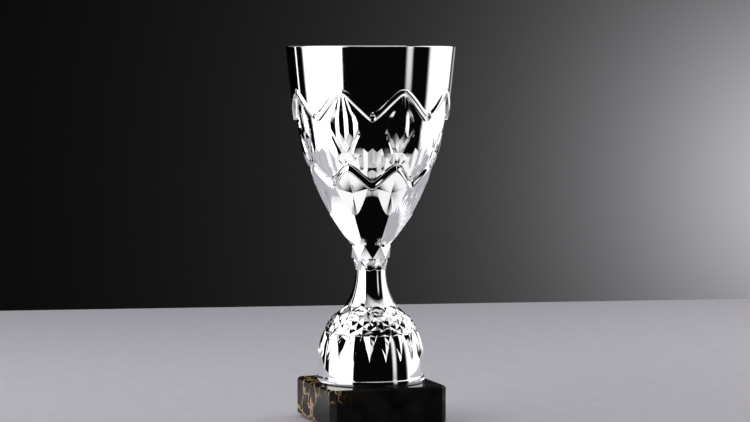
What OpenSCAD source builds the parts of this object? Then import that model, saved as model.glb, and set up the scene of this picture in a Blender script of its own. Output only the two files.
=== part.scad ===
// Cup trophy: a crystal-cut bowl on a faceted collar and a bell foot, drawn down
// onto a marble plinth by one threaded stud.
// Millimetres. Z is up, the felt pads stand on Z = 0, the plinth's sides lie along X and Y.

/* [Bowl] */
// Height of the bowl from its seat on the collar to its rim
bowl_h = 130.6; // [122:0.2:142]
// Diameter over the rim
rim_d = 112.4; // [104:0.2:122]
// Diameter of the round seat under the bowl
bowl_seat_d = 27; // [25:0.2:30]
// Depth below the rim of the upper handle of the side's curve
flank_drop = 46; // [42:0.5:54]
// Diameter at the upper handle of the side's curve
flank_d = 102; // [98:0.2:110]
// Depth below the rim of the lower handle of the side's curve
belly_drop = 80; // [76:0.5:90]
// Diameter at the lower handle of the side's curve
belly_d = 103; // [96:0.2:108]
// Wall at the rim
rim_wall = 1.8; // [1.4:0.1:2.4]
// Wall behind the cut pattern, measured from the uncut surface
cut_wall = 3.6; // [3:0.1:4.4]
// Thickness of the bowl's floor at the stud
bowl_floor = 3.6; // [3:0.1:6]
// Depth of the rounding under the hollow's floor corner
hollow_round = 6; // [4:0.5:9]

/* [Bowl pattern] */
// Repeats of the pattern round the bowl
bowl_repeats = 8; // [6:1:10]
// Turn of the pattern's first trough from the X axis
bowl_turn = 28.2; // [0:0.1:45]
// Depth below the rim of the zigzag rib's middle line
rib_drop = 37.3; // [34:0.1:40]
// Rise and fall of the zigzag rib each side of its middle line
rib_swing = 8; // [5:0.1:9]
// Width of the zigzag rib
rib_w = 3.6; // [2.6:0.1:4.4]
// Height of the zigzag rib over the plain band above it
rib_h = 0.6; // [0.3:0.1:0.9]
// Depth of the cut panel below the plain band
panel_cut = 1.3; // [0.6:0.1:1.4]
// Depth below the rim of the lower groove's middle line
groove_drop = 84.9; // [82:0.1:88]
// Rise and fall of the lower groove each side of its middle line
groove_swing = 5.7; // [4:0.1:7]
// Width of the lower groove
groove_w = 2.6; // [2:0.1:3.4]
// Depth of the lower groove
groove_cut = 0.8; // [0.4:0.1:1]
// Width of the thin bead on each side of the lower groove
bead_w = 1.2; // [0.8:0.1:1.6]
// Depth of those beads below the plain side
bead_cut = 0.8; // [0.4:0.1:1]
// Depth of the pointed flutes
flute_cut = 0.8; // [0.4:0.1:1]
// Gap between the rib and the top of the fan of flutes
fan_gap = 2; // [1:0.1:3]
// Run over which a fan's flutes reach their depth
fan_run = 5; // [4:0.1:7]
// Length of a fan's flutes below that run
fan_l = 23; // [18:0.5:26]
// Length of the crown of flutes above the thumb cut
crown_l = 14.6; // [12:0.2:16]
// Length of the oval thumb cut above the lower groove
thumb_l = 6; // [4:0.2:7]
// Depth of the oval thumb cut
thumb_cut = 0.9; // [0.4:0.1:1.1]
// Length of the leaf-shaped cut that hangs from each lower peak
leaf_l = 24; // [18:0.5:28]
// Depth of the leaf-shaped cut
leaf_cut = 0.9; // [0.4:0.1:1.1]

/* [Collar] */
// Height of the faceted collar
collar_h = 9.4; // [8:0.1:12]
// Diameter over the collar's corners
collar_d = 27.6; // [26:0.2:31]
// Diameter over the collar's lower edge
collar_foot_d = 25.4; // [24:0.2:29]
// Height of the collar's plain round lip
collar_lip = 0.8; // [0.5:0.1:1.5]
// Facets that point down round the collar
collar_facets = 8; // [6:1:12]
// Turn of the collar's first facet from the X axis
collar_turn = 34.4; // [0:0.1:45]

/* [Foot] */
// Height of the foot from the plinth to the collar
foot_h = 82.2; // [78:0.1:88]
// Diameter of the neck where it meets the collar
neck_top_d = 23.6; // [22:0.1:25]
// Diameter of the neck at its waist
neck_d = 20; // [19:0.1:21]
// Length of the taper from the collar down to the waist
neck_taper = 8.3; // [6:0.1:11]
// Height over the plinth where the neck meets the petals
petal_z = 50.5; // [49.5:0.1:53]
// Diameter of the neck where it meets the petals
petal_top_d = 34; // [32:0.2:36]
// Step out from the neck to the petals
petal_step = 0.7; // [0.4:0.1:1.2]
// Depth of the notch between two petals
petal_cut = 0.9; // [0.4:0.1:1.2]
// Petals round the shoulder
petals = 10; // [6:1:12]
// Turn of the petals from the X axis
petal_turn = 12.2; // [0:0.1:36]
// Height over the plinth of the top of the diamond band
band_top_z = 44.7; // [43.5:0.1:46]
// Diameter at the top of the diamond band
band_top_d = 46; // [44:0.2:48]
// Height over the plinth of the foot of the diamond band
band_foot_z = 34; // [32:0.1:36]
// Diameter at the foot of the diamond band
band_foot_d = 60.6; // [58:0.2:63]
// Roundness of the shoulder under the diamonds
band_bulge = 0.8; // [0.2:0.1:1.4]
// Diamonds in one ring round the shoulder
diamonds = 20; // [16:2:24]
// Rings of diamonds, each half a diamond below the last
diamond_rings = 4; // [3:1:5]
// Height of a diamond's point over its corners
diamond_h = 1.1; // [0.6:0.1:1.4]
// Turn of the lowest ring of diamonds from the X axis
diamond_turn = 7.7; // [0:0.1:18]
// Length of the daggers below the diamonds
dagger_l = 16.2; // [13:0.1:18]
// Height of the daggers' ridges at their top
dagger_h = 1.4; // [0.6:0.1:1.8]
// Diameter of the bell at its fullest
bell_d = 68.6; // [66:0.2:70]
// Diameter of the bell just over its flange
bell_foot_d = 69.8; // [67:0.2:70.4]
// Diameter of the flange on the plinth
flange_d = 71.6; // [70.5:0.2:77]
// Thickness of the flange
flange_t = 4.3; // [3:0.1:5.5]
// Wall of the hollow foot, measured level
foot_wall = 3.4; // [3:0.1:4.2]
// Thickness of the foot's top under the collar
foot_cap = 3; // [2:0.1:5]

/* [Plinth] */
// Side of the square plinth
plinth_w = 80; // [78:0.5:90]
// Height of the plinth
plinth_h = 25; // [22:0.5:40]
// Bevel down each corner
corner_bevel = 3.8; // [1:0.1:5]
// Bevel round the top and bottom edges
edge_bevel = 1.2; // [0.5:0.1:2]
// Diameter of the hole drilled through the plinth
plinth_hole_d = 8; // [7.2:0.1:10]
// Diameter of the pocket under the plinth
pocket_d = 24; // [22:0.5:28]
// Depth of the pocket under the plinth
pocket_h = 12; // [11:0.5:15]

/* [Pads] */
// Diameter of each felt pad
pad_d = 12; // [8:0.5:14]
// Thickness of each felt pad
pad_t = 1.5; // [1:0.1:3]
// Distance of each pad's middle from the plinth's two sides
pad_inset = 11; // [9:0.5:13]

/* [Fastening] */
// Diameter of the threaded stud
stud_d = 6; // [5:0.5:6]
// Radial clearance of the nuts and washers on the stud
nut_play = 0.05; // [0.02:0.01:0.09]
// Radial clearance of the stud in the bowl, the collar and the foot
bore_play = 0.3; // [0.2:0.05:0.6]
// Width across the nuts' flats
nut_af = 10; // [9:0.5:11]
// Height of the nuts
nut_h = 5.2; // [4:0.1:6]
// Diameter of the wide washers
washer_d = 18; // [14:0.5:18]
// Thickness of the wide washers
washer_t = 1.6; // [1:0.1:2]
// Width of the spring washer's wire
spring_w = 2.4; // [1.6:0.1:2.6]
// Thickness of the spring washer
spring_t = 1.6; // [1:0.1:2]
// Gap where the spring washer is split
spring_gap = 1; // [0.6:0.1:1.6]
// Length of stud that shows past each nut
stud_end = 1.6; // [0.5:0.1:2]

/* [Hidden] */
$fn = 96;
// How far a cutting tool runs past the face that it cuts
over = 1;
// Thickness of the plates that a hull joins
skin = 0.02;
plinth_z = pad_t;
foot_z = plinth_z + plinth_h;
collar_z = foot_z + foot_h;
bowl_z = collar_z + collar_h;
rim_z = bowl_z + bowl_h;
pocket_z = plinth_z + pocket_h;
bowl_nut_z = bowl_z + bowl_floor + washer_t;
stud_top = bowl_nut_z + nut_h + stud_end;
spring_z = pocket_z - washer_t - spring_t;
plinth_nut_z = spring_z - nut_h;
stud_foot = plinth_nut_z - stud_end;
bore_d = stud_d + 2 * bore_play;
nut_bore_d = stud_d + 2 * nut_play;

// One value between a and b, t of the way along
function mix(a, b, t) = a + (b - a) * t;
// A cubic curve's value at t, with ends a and d and handles b and c
function curve(a, b, c, d, t) =
    a * pow(1 - t, 3) + 3 * b * t * pow(1 - t, 2) + 3 * c * t * t * (1 - t) + d * pow(t, 3);

// ---- rings of points, made into one closed wall ----
// Rings run from the top outside, down the outer face; both ends are closed flat.
// Cells are split so that the points whose column and row add to an even number are joined.
function ring_faces(rows, cols) = [
    for (r = [0 : rows - 2], c = [0 : cols - 1])
        let (a = r * cols + c, b = r * cols + (c + 1) % cols, d = a + cols, e = b + cols)
        each (r + c) % 2 == 0 ? [[a, b, e], [a, e, d]] : [[a, b, d], [b, e, d]]
];
module ring_solid(rings) {
    rows = len(rings);
    cols = len(rings[0]);
    polyhedron(
        points = [for (ring = rings) each ring],
        faces = concat(
            [[for (c = [cols - 1 : -1 : 0]) c]],
            ring_faces(rows, cols),
            [[for (c = [0 : cols - 1]) (rows - 1) * cols + c]]
        ),
        convexity = 6
    );
}
function round_point(r, angle, z) = [r * cos(angle), r * sin(angle), z];

// ---- bowl ----
// Where the side's curve reaches a depth, found by halving
function side_t(depth, low = 0, high = 1, tries = 22) =
    let (mid = (low + high) / 2)
    tries == 0 ? mid
    : curve(0, flank_drop, belly_drop, bowl_h, mid) < depth ? side_t(depth, mid, high, tries - 1)
    : side_t(depth, low, mid, tries - 1);
function side_r(depth) = curve(rim_d, flank_d, belly_d, bowl_seat_d, side_t(depth)) / 2;

flutes_per_repeat = 6;
cols_per_repeat = 2 * flutes_per_repeat;
bowl_cols = bowl_repeats * cols_per_repeat;
peak_col = cols_per_repeat / 2;
rib_top = rib_drop - rib_w / 2;
rib_foot = rib_drop + rib_w / 2;
groove_top = groove_drop - groove_w / 2;
groove_foot = groove_drop + groove_w / 2;
panel_foot = groove_top - 2 * bead_w;
leaf_top = groove_foot + 2 * bead_w;
fan_top = rib_foot + fan_gap;
fan_full = fan_top + fan_run;
fan_tip = fan_full + fan_l;
thumb_top = panel_foot - thumb_l;
thumb_mid = panel_foot - thumb_l / 2;
crown_top = thumb_top - crown_l;
leaf_wide = leaf_top + leaf_l / 3;
leaf_tip = leaf_top + leaf_l;
zig_sharp = 0.97;
plain_rows = 5;
lower_rows = 6;

// Rounded zigzag: 1 at each trough, -1 at each peak
function zigzag(col) = asin(zig_sharp * cos(360 * col / cols_per_repeat)) / asin(zig_sharp);
function swing(drop) =
    lookup(drop, [[0, 0], [rib_drop, rib_swing], [groove_drop, groove_swing], [bowl_h, 0]]);
// How far the bands stand over or under the plain side
function band_relief(drop) = lookup(drop, [
    [rib_top, 0], [rib_drop, rib_h], [rib_foot, -panel_cut], [panel_foot, -panel_cut],
    [groove_top - bead_w, -bead_cut], [groove_top, -bead_cut], [groove_drop, -bead_cut - groove_cut],
    [groove_foot, -bead_cut], [leaf_top, -bead_cut], [leaf_wide, 0]
]);
// Pointed flutes: a fan under each peak, a crown over each trough
function flute_relief(col, drop) =
    let (c = col % cols_per_repeat, from_peak = abs(c - peak_col), groove = c % 2 == 0 ? 1 : 0)
    from_peak < 3
    ? -flute_cut * groove
      * lookup(drop, [[fan_top, 0], [fan_full, 1], [fan_tip, 0]])
    : -flute_cut * groove * (from_peak > 3 ? 1 : 0)
      * lookup(drop, [[crown_top, 0], [thumb_top, 1], [panel_foot, 0]]);
// Oval thumb cut over each lower trough, leaf-shaped cut under each lower peak
function single_relief(col, drop) =
    let (c = col % cols_per_repeat, from_peak = abs(c - peak_col))
    c == 0 ? -thumb_cut * lookup(drop, [[thumb_top, 0], [thumb_mid, 1], [panel_foot, 0]])
    : from_peak < 2 ? -leaf_cut * (1 - from_peak / 2)
      * lookup(drop, [[leaf_top, 0], [leaf_wide, 1], [leaf_tip, 0]])
    : 0;
function bowl_point(col, drop) =
    let (depth = drop + swing(drop) * zigzag(col),
         relief = band_relief(drop) + flute_relief(col, drop) + single_relief(col, drop))
    round_point(side_r(depth) + relief, bowl_turn + 360 * col / bowl_cols, rim_z - depth);

bowl_drops = concat(
    [for (i = [0 : plain_rows - 1]) mix(0, rib_top, i / plain_rows)],
    [rib_top, rib_drop, rib_foot, fan_top, fan_full],
    [for (i = [1 : 3]) mix(fan_full, crown_top, i / 4)],
    [crown_top, fan_tip, thumb_top, thumb_mid, panel_foot, groove_top - bead_w,
     groove_top, groove_drop, groove_foot, leaf_top, leaf_wide, mix(leaf_wide, leaf_tip, 0.5)],
    [for (i = [0 : lower_rows]) mix(leaf_tip, bowl_h, i / lower_rows)]
);

// The hollow follows the side at the wall's thickness and rounds into a flat floor
hollow_steps = 14;
hollow_h = bowl_h - bowl_floor;
// Share of the wall's growth that is reached at the top of the rib
wall_share = 0.6;
washer_room = 1;
hollow_floor_r = washer_d / 2 + washer_room;
function bowl_wall(depth) =
    lookup(depth, [[0, rim_wall], [rib_top, mix(rim_wall, cut_wall, wall_share)], [rib_foot, cut_wall]]);
function hollow_r(depth) = side_r(depth) - bowl_wall(depth);
module bowl_hollow() {
    floor_z = rim_z - hollow_h;
    rotate_extrude()
        polygon(concat(
            [[0, floor_z], [hollow_floor_r, floor_z]],
            [for (i = [hollow_steps : -1 : 0])
                let (depth = (hollow_h - hollow_round) * i / hollow_steps)
                [hollow_r(depth), rim_z - depth]],
            [[hollow_r(0), rim_z + over], [0, rim_z + over]]
        ));
}
module bowl() {
    color("silver")
    difference() {
        ring_solid([for (drop = bowl_drops) [for (c = [0 : bowl_cols - 1]) bowl_point(c, drop)]]);
        bowl_hollow();
        translate([0, 0, bowl_z - over]) cylinder(d = bore_d, h = bowl_floor + 2 * over);
    }
}

// ---- collar ----
// How far the collar's lip stands back from the edge of the bowl's seat
lip_inset = 0.2;
module facet_plate(z, d, turn) {
    rotate([0, 0, collar_turn + turn])
        translate([0, 0, z]) cylinder(d = d, h = skin, $fn = collar_facets);
}
module collar() {
    half_facet = 180 / collar_facets;
    color("silver")
    difference() {
        union() {
            hull() {
                facet_plate(collar_z + collar_h - collar_lip - skin, collar_d, half_facet);
                facet_plate(collar_z, collar_foot_d, 0);
            }
            translate([0, 0, collar_z + collar_h - collar_lip])
                cylinder(d = bowl_seat_d - 2 * lip_inset, h = collar_lip);
        }
        translate([0, 0, collar_z - over]) cylinder(d = bore_d, h = collar_h + 2 * over);
    }
}

// ---- foot ----
waist_z = foot_h - neck_taper;
neck_steps = 10;
// Shares of the way from the waist to the petals at which the neck's curve has its handles
neck_flare = 0.62;
neck_hold = 0.5;
neck_turn_out = 0.8;
// The neck's outline from its waist down to the petals, as [radius, height]
function neck_point(t) = [
    curve(neck_d, neck_d, mix(neck_d, petal_top_d, neck_flare), petal_top_d, t) / 2,
    curve(waist_z, mix(waist_z, petal_z, neck_hold), mix(waist_z, petal_z, neck_turn_out), petal_z, t)
];
function band_r(t) = mix(band_top_d, band_foot_d, t) / 2 + band_bulge * 4 * t * (1 - t);
dagger_foot_z = band_foot_z - dagger_l;
// The bell under the daggers, as [radius, height], from t = 0 at their points to 1 at the flange
function bell_point(t) = [
    mix(bell_d, bell_foot_d, t * t) / 2,
    mix(dagger_foot_z, flange_t, t)
];
skirt_cols = 2 * diamonds;
// Rings down the skirt; even columns carry the lowest diamonds' corners
function skirt_point(col, row) =
    let (corner = (col + row) % 2 == 0,
         t = row / diamond_rings,
         angle = diamond_turn + 180 * (diamond_rings % 2) / diamonds + 180 * col / diamonds)
    row < diamond_rings ? round_point(band_r(t) + (corner ? 0 : diamond_h), angle,
                                      foot_z + mix(band_top_z, band_foot_z, t))
    : row == diamond_rings ? round_point(band_foot_d / 2 + (corner ? 0 : dagger_h), angle,
                                         foot_z + band_foot_z)
    : let (p = bell_point((row - diamond_rings - 1) / bell_rows))
      round_point(p[0], angle, foot_z + p[1]);
bell_rows = 4;

petal_cols = 4 * petals;
// Shares of the notch's depth at a petal's flanks and at its top edge
petal_flank = 0.15;
petal_tip = 0.3;
// Share of the petals' height and of their width at which they are fullest
petal_mid_h = 0.6;
petal_mid_w = 0.75;
// How far the petals reach down behind the top of the diamonds
petal_lap = 0.3;
function petal_point(col, z, r, cut) =
    round_point(r - (col % 4 == 0 ? cut : 0) - (col % 2 == 1 ? cut * petal_flank : 0),
                petal_turn + 180 / petals + 90 * col / petals, foot_z + z);
module petal_ring() {
    top_r = petal_top_d / 2 + petal_step;
    foot_r = band_top_d / 2 - petal_step;
    ring_solid([
        for (p = [[petal_z, top_r, petal_tip * petal_cut],
                  [mix(petal_z, band_top_z, petal_mid_h), mix(top_r, foot_r, petal_mid_w), petal_cut],
                  [band_top_z - petal_lap, foot_r, petal_cut]])
            [for (c = [0 : petal_cols - 1]) petal_point(c, p[0], p[1], p[2])]
    ]);
}
// How much deeper and lower the hollow lies behind the diamonds than behind a plain wall
band_back = 0.6;
band_sink = 1;
module foot_hollow() {
    neck = [for (i = [0 : neck_steps]) neck_point(i / neck_steps)];
    band = [for (i = [1 : diamond_rings]) i / diamond_rings];
    rotate_extrude()
        polygon(concat(
            [[0, foot_z + foot_h - foot_cap], [neck_d / 2 - foot_wall, foot_z + foot_h - foot_cap]],
            [for (p = neck) [p[0] - foot_wall, foot_z + p[1]]],
            [for (t = band)
                [band_r(t) - foot_wall - band_back, foot_z + mix(band_top_z, band_foot_z, t) - band_sink]],
            [[bell_d / 2 - foot_wall, foot_z + dagger_foot_z],
             [bell_foot_d / 2 - foot_wall, foot_z + flange_t],
             [bell_foot_d / 2 - foot_wall, foot_z - over], [0, foot_z - over]]
        ));
}
module foot() {
    neck = [for (i = [0 : neck_steps]) neck_point(i / neck_steps)];
    color("silver")
    difference() {
        union() {
            rotate_extrude()
                polygon(concat(
                    [[0, foot_z + foot_h], [neck_top_d / 2, foot_z + foot_h]],
                    [for (p = neck) [p[0], foot_z + p[1]]],
                    [[petal_top_d / 2, foot_z + petal_z - petal_step], [0, foot_z + petal_z - petal_step]]
                ));
            petal_ring();
            ring_solid([
                for (row = [0 : diamond_rings + 1 + bell_rows])
                    [for (c = [0 : skirt_cols - 1]) skirt_point(c, row)]
            ]);
            translate([0, 0, foot_z]) cylinder(d = flange_d, h = flange_t);
        }
        foot_hollow();
        translate([0, 0, foot_z + foot_h - foot_cap - over])
            cylinder(d = bore_d, h = foot_cap + 2 * over);
    }
}

// ---- plinth ----
// A square bar as long as it is wide, with its four long edges cut back
module bevelled_bar(side, bevel, h) {
    s = side / 2;
    b = s - bevel;
    linear_extrude(height = h, center = true)
        polygon([[s, b], [b, s], [-b, s], [-s, b], [-s, -b], [-b, -s], [b, -s], [s, -b]]);
}
// A bar seen from its end: as wide as the plinth, as high as the plinth, edges cut back
module edge_bar(width) {
    x = width / 2;
    z = plinth_h / 2;
    rotate([90, 0, 0])
        linear_extrude(height = 2 * plinth_w, center = true)
            polygon([[x, z - edge_bevel], [x - edge_bevel, z], [edge_bevel - x, z], [-x, z - edge_bevel],
                     [-x, edge_bevel - z], [edge_bevel - x, -z], [x - edge_bevel, -z], [x, edge_bevel - z]]);
}
module plinth() {
    corner_width = sqrt(2) * (plinth_w - corner_bevel);
    color([0.06, 0.06, 0.065])
    difference() {
        translate([0, 0, plinth_z + plinth_h / 2])
            intersection() {
                bevelled_bar(plinth_w, corner_bevel, plinth_h);
                edge_bar(plinth_w);
                rotate([0, 0, 90]) edge_bar(plinth_w);
                rotate([0, 0, 45]) edge_bar(corner_width);
                rotate([0, 0, -45]) edge_bar(corner_width);
            }
        translate([0, 0, plinth_z - over]) cylinder(d = plinth_hole_d, h = plinth_h + 2 * over);
        translate([0, 0, plinth_z - over]) cylinder(d = pocket_d, h = pocket_h + over);
    }
}

// ---- fastening ----
module stud() {
    color("gray") translate([0, 0, stud_foot]) cylinder(d = stud_d, h = stud_top - stud_foot);
}
module washer(z) {
    color("lightgray")
    translate([0, 0, z])
        difference() {
            cylinder(d = washer_d, h = washer_t);
            translate([0, 0, -over]) cylinder(d = nut_bore_d, h = washer_t + 2 * over);
        }
}
module nut(z) {
    color("lightgray")
    translate([0, 0, z])
        difference() {
            cylinder(d = nut_af / cos(30), h = nut_h, $fn = 6);
            translate([0, 0, -over]) cylinder(d = nut_bore_d, h = nut_h + 2 * over);
        }
}
module bowl_washer() { washer(bowl_nut_z - washer_t); }
module bowl_nut() { nut(bowl_nut_z); }
module plinth_washer() { washer(pocket_z - washer_t); }
module plinth_nut() { nut(plinth_nut_z); }
module spring_washer() {
    outer_d = nut_bore_d + 2 * spring_w;
    color("gray")
    translate([0, 0, spring_z])
        difference() {
            cylinder(d = outer_d, h = spring_t);
            translate([0, 0, -over]) cylinder(d = nut_bore_d, h = spring_t + 2 * over);
            translate([0, -spring_gap / 2, -over]) cube([outer_d, spring_gap, spring_t + 2 * over]);
        }
}

// ---- felt pads ----
module felt_pads() {
    reach = plinth_w / 2 - pad_inset;
    color("darkgreen")
    for (x = [-reach, reach], y = [-reach, reach])
        translate([x, y, 0]) cylinder(d = pad_d, h = pad_t);
}

bowl();
collar();
foot();
plinth();
stud();
bowl_washer();
bowl_nut();
plinth_washer();
spring_washer();
plinth_nut();
felt_pads();
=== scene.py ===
# Cup trophy: a crystal-cut silvered bowl on a faceted collar and a bell foot, on a square marble plinth.
# The sections follow the way that it is put together, from the felt under it to the nut in the bowl.
import math

import bpy
import numpy as np
from mathutils import Matrix, Vector
from mathutils.geometry import delaunay_2d_cdt


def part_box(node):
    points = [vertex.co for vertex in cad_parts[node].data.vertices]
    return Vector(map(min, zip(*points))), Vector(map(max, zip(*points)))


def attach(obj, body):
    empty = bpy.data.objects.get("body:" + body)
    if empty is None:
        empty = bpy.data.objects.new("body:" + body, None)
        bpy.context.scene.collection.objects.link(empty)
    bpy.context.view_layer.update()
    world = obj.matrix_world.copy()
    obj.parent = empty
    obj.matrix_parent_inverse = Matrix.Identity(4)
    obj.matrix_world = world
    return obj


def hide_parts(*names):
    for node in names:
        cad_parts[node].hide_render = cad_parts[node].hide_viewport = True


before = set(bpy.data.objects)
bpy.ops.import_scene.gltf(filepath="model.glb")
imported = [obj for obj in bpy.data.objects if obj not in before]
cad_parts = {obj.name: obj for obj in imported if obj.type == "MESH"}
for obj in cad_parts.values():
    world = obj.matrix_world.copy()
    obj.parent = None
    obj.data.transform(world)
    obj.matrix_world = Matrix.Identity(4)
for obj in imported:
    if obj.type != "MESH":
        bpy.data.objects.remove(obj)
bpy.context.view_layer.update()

MM = 0.001


# ---- felt pads ----
# Four discs punched from green wool felt, stuck under the plinth's corners.
# They are soft, so their rims are rounded and their faces uneven.
def clear_selection():
    """Leaves object mode with nothing selected."""
    if bpy.context.object and bpy.context.object.mode != "OBJECT":
        bpy.ops.object.mode_set(mode="OBJECT")
    bpy.ops.object.select_all(action="DESELECT")


def take(piece):
    """Makes a piece the only one selected, and the active one."""
    clear_selection()
    bpy.context.view_layer.objects.active = piece
    piece.select_set(True)
    return piece


def placed(name, data):
    """Puts an object that holds this data into the scene."""
    made = bpy.data.objects.new(name, data)
    bpy.context.collection.objects.link(made)
    return made


def named(name):
    """Names the piece that was just added, and puts its place into its mesh."""
    piece = bpy.context.object
    piece.name = name
    piece.data.name = name
    bpy.ops.object.transform_apply(location=True, rotation=True, scale=True)
    return piece


def rod(radius, low_z, high_z, vertices=96, at=(0, 0), turn=0, name="rod"):
    """An upright rod with this many sides, on the trophy's axis unless it is put elsewhere."""
    clear_selection()
    bpy.ops.mesh.primitive_cylinder_add(
        vertices=vertices, radius=radius, depth=high_z - low_z, location=(*at, (low_z + high_z) / 2),
        rotation=(0, 0, math.radians(turn)),
    )
    return named(name)


def apply_all(piece):
    """Applies every modifier on a piece, in order."""
    take(piece)
    for modifier in list(piece.modifiers):
        bpy.ops.object.modifier_apply(modifier=modifier.name)


def soften_edges(piece, width, segments=2, angle=25):
    """Rounds the edges of a piece that are sharper than an angle."""
    edge = piece.modifiers.new("rounded_edge", "BEVEL")
    edge.width = width
    edge.segments = segments
    edge.limit_method = "ANGLE"
    edge.angle_limit = math.radians(angle)
    edge.miter_outer = "MITER_ARC"
    apply_all(piece)


def smooth(piece, angle):
    """Smooth shading, broken at edges sharper than an angle."""
    take(piece)
    bpy.ops.object.shade_smooth_by_angle(angle=math.radians(angle), keep_sharp_edges=True)


def node(tree, kind, place, values=(), **settings):
    """One shader node, with its settings and the values of its input sockets."""
    made = tree.nodes.new(kind)
    made.location = place
    for key, value in settings.items():
        setattr(made, key, value)
    for key, value in dict(values).items():
        made.inputs[key].default_value = value
    return made


def object_place(tree, place):
    """The coordinates of the piece itself."""
    return node(tree, "ShaderNodeTexCoord", place).outputs["Object"]


def noise(tree, place, where, **values):
    """The output of a noise texture at the given coordinates."""
    made = node(tree, "ShaderNodeTexNoise", place, values)
    tree.links.new(where, made.inputs["Vector"])
    return made.outputs["Fac"]


def maths(tree, place, operation, *given):
    """The output of a math node that is given other nodes' outputs, or numbers."""
    made = node(tree, "ShaderNodeMath", place, operation=operation)
    for socket, value in zip(made.inputs, given):
        if isinstance(value, float):
            socket.default_value = value
        else:
            tree.links.new(value, socket)
    return made.outputs["Value"]


def new_material(name, **constants):
    """A material with a Principled shader, whose constant sockets are set here."""
    material = bpy.data.materials.new(name)
    material.use_nodes = True
    tree = material.node_tree
    shader = tree.nodes["Principled BSDF"]
    shader.location = (600, 0)
    for key, value in constants.items():
        shader.inputs[key.replace("_", " ")].default_value = value
    return material, tree, shader


def ramp(tree, place, mask, stops, interpolation="LINEAR"):
    """The output of a colour ramp with stops of (position, grey or colour), read by a mask."""
    made = node(tree, "ShaderNodeValToRGB", place)
    made.color_ramp.interpolation = interpolation
    points = made.color_ramp.elements
    while len(points) < len(stops):
        points.new(0.5)
    for point, (position, colour) in zip(points, stops):
        point.position = position
        point.color = (colour, colour, colour, 1) if isinstance(colour, float) else (*colour, 1)
    tree.links.new(mask, made.inputs["Fac"])
    return made.outputs["Color"]


def bumped(tree, shader, place, height, **values):
    """Feeds a height to the shader's normal."""
    made = node(tree, "ShaderNodeBump", place, values)
    tree.links.new(height, made.inputs["Height"])
    tree.links.new(made.outputs["Normal"], shader.inputs["Normal"])


def felt():
    """Green wool felt: matted fibres in broad patches of tone, painted a little lighter where they stand up
    and darker between them, as painted highlight and shade.
    """
    material, tree, shader = new_material("green_felt", Roughness=0.95, Sheen_Weight=0.4)
    where = object_place(tree, (-900, 0))
    fibres = noise(tree, (-600, 100), where, Scale=2600.0, Detail=5.0, Distortion=1.5)
    patches = noise(tree, (-600, -200), where, Scale=260.0, Detail=2.0)
    # The fine fibre noise, which also raises the bump, lightens the colour on the fibres that stand up: a
    # painted highlight, with painted shade between them, over the random patches.
    mixed = maths(tree, (-350, 0), "MULTIPLY_ADD", fibres, 0.7, patches)
    colour = ramp(tree, (-100, 100), mixed, [(0.2, (0.004, 0.045, 0.018)), (0.9, (0.02, 0.14, 0.06))])
    tree.links.new(colour, shader.inputs["Base Color"])
    bumped(tree, shader, (200, -250), fibres, Strength=0.8, Distance=0.0003)
    return material


PAD_D = 12 * MM
PAD_INSET = 11 * MM
PAD_ROUNDING = 0.3 * MM
PAD_RINGS = 5
RING_STEP = 0.9 * MM
WOOL_UNEVEN = 0.12 * MM
WOOL_GRAIN = 1.2 * MM
plinth_low, plinth_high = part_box("plinth")
pad_t = plinth_low.z
pad_felt = felt()
matting = bpy.data.textures.new("matting", "CLOUDS")
matting.noise_scale = WOOL_GRAIN
pad_reach = plinth_high.x - PAD_INSET
for number, (side_x, side_y) in enumerate([(-1, -1), (1, -1), (1, 1), (-1, 1)], 1):
    corner = (side_x * pad_reach, side_y * pad_reach)
    pad = rod(PAD_D / 2, 0, pad_t, 56, corner, name=f"felt_pad_{number}")
    bpy.ops.object.mode_set(mode="EDIT")
    bpy.ops.mesh.select_all(action="DESELECT")
    bpy.ops.object.mode_set(mode="OBJECT")
    for face in pad.data.polygons:
        face.select = abs(face.normal.z) > 0.9
    bpy.ops.object.mode_set(mode="EDIT")
    for _ in range(PAD_RINGS):
        bpy.ops.mesh.inset(thickness=RING_STEP)
    bpy.ops.object.mode_set(mode="OBJECT")
    soften_edges(pad, PAD_ROUNDING, 3)
    wool = pad.modifiers.new("wool", "DISPLACE")
    wool.texture = matting
    wool.texture_coords = "LOCAL"
    wool.mid_level = 1.0
    wool.strength = WOOL_UNEVEN
    apply_all(pad)
    smooth(pad, 60)
    pad.data.materials.append(pad_felt)
    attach(pad, "root")
    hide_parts("felt_pads")


# ---- plinth ----
# A block sawn from black marble with gold and brown veins, bevelled all round and polished.
# It is drilled for the stud, with a round pocket under it for the nut.
CORNER_BEVEL = 3.8 * MM
EDGE_BEVEL = 1.2 * MM
POLISHED_EDGE = 0.2 * MM
PLINTH_HOLE_D = 8 * MM
POCKET_D = 24 * MM
POCKET_H = 12 * MM
PAST = 5 * MM  # how far a cutting rod reaches past the piece that it cuts


def pick_edges(piece, wanted):
    """Goes into edit mode with only the edges selected whose two ends satisfy wanted(a, b)."""
    take(piece)
    bpy.ops.object.mode_set(mode="EDIT")
    bpy.ops.mesh.select_mode(type="EDGE")
    bpy.ops.mesh.select_all(action="DESELECT")
    bpy.ops.object.mode_set(mode="OBJECT")
    points = piece.data.vertices
    for edge in piece.data.edges:
        a, b = (points[i].co for i in edge.vertices)
        edge.select = wanted(a, b)
    bpy.ops.object.mode_set(mode="EDIT")


def carve(piece, tool, operation="DIFFERENCE"):
    """Cuts a piece with another, which is used up."""
    cut = piece.modifiers.new("cut", "BOOLEAN")
    cut.operation = operation
    cut.solver = "EXACT"
    cut.object = tool
    apply_all(piece)
    bpy.data.objects.remove(tool)


def block(name, middle, size, rotation=(0, 0, 0)):
    """A rectangular block, turned about its middle."""
    clear_selection()
    bpy.ops.mesh.primitive_cube_add(size=1, location=middle, rotation=rotation, scale=size)
    return named(name)


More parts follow.
